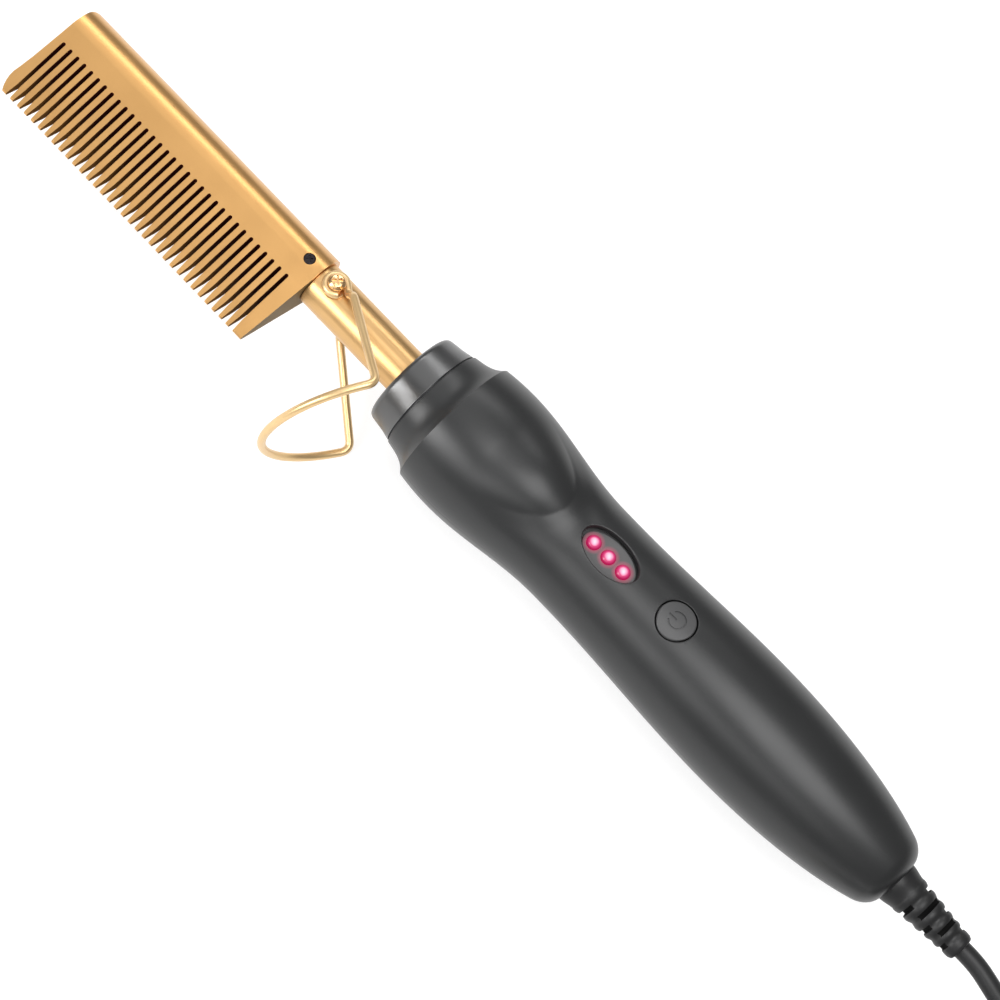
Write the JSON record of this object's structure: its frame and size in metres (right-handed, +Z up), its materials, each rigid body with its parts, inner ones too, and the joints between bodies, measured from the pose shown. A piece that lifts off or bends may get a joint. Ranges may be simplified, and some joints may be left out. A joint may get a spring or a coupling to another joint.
{
  "type": "electric hot comb",
  "caption": "Electric hot comb with a toothed wedge head on a heated barrel, folding wire stand, moulded handle with button, lamp window and coiled cord.",
  "frame": {"origin": "centre of the bounding box of the comb, handle and strain relief, on the surface that it lies on", "axes": "+X along the handle from the comb tip towards the cord, +Y to the barrel side with the teeth towards -Y, +Z up through the button"},
  "size_m": [0.3932, 0.0911, 0.0504],
  "materials": {
    "gold_coat": "satin gold coating",
    "bare_aluminium": "satin",
    "dark_ceramic": "fired ceramic",
    "white_ceramic": "fired ceramic",
    "copper_strip": "rolled",
    "blackened_steel": "blackened",
    "gold_neck": "satin gold coating",
    "gold_steel": "gold coating",
    "gold_wire": "polished gold coating",
    "collar_plastic": "satin",
    "handle_plastic": "satin",
    "plain_steel": "zinc plated",
    "window_plastic": "satin",
    "lamp_red": "clear tinted lens",
    "button_plastic": "satin",
    "white_plastic": "moulded",
    "part_black": "moulded",
    "board_green": "solder mask",
    "capacitor_yellow": "moulded",
    "lead_white": "glass sleeve",
    "lead_red": "insulated wire",
    "lead_blue": "insulated wire",
    "relief_rubber": "moulded",
    "cord_rubber": "moulded",
    "tie_plastic": "moulded",
    "blade_brass": "nickel plated"
  },
  "bodies": {
    "handle": {"comb_head": "gold_coat", "heater_spreader": "bare_aluminium", "ptc_tiles": "dark_ceramic", "electrode_plates": "copper_strip", "thermistor": "dark_ceramic", "thermal_fuse": "white_ceramic", "comb_screws": "blackened_steel", "neck_tube": "gold_neck", "pivot_screws": "gold_steel", "pivot_washers": "gold_steel", "front_collar": "collar_plastic", "upper_shell": "handle_plastic", "lower_shell": "handle_plastic", "shell_screws": "plain_steel", "indicator_plate": "window_plastic", "led_lamps": "lamp_red", "tact_switch": "part_black", "circuit_board": "board_green", "controller_chip": "part_black", "triac": "part_black", "dropper_capacitor": "capacitor_yellow", "heat_bushing": "white_ceramic", "heater_leads": "lead_white", "sensor_leads": "lead_red", "mains_leads": "lead_blue", "cord_clamp": "white_plastic", "clamp_screws": "plain_steel", "strain_relief": "relief_rubber", "cord_stub": "cord_rubber", "cord_lead": "cord_rubber", "cord_coil": "cord_rubber", "cord_tail": "cord_rubber", "coil_tie": "tie_plastic", "plug_body": "relief_rubber", "plug_blades": "blade_brass"},
    "stand": {"wire_stand": "gold_wire"},
    "button": {"power_button": "button_plastic", "switch_plunger": "white_plastic"}
  },
  "joints": [
    {"name": "stand_swing", "type": "hinge", "parent": "handle", "child": "stand", "pos_m": [-0.06135, 0.01024, 0.0252], "axis": [0, 0, -1], "range_deg": [-42, 71]},
    {"name": "button_press", "type": "slide", "parent": "handle", "child": "button", "axis": [0, 0, -1], "range_m": [0, 0.0005], "stiffness_N_per_m": 400}
  ]
}
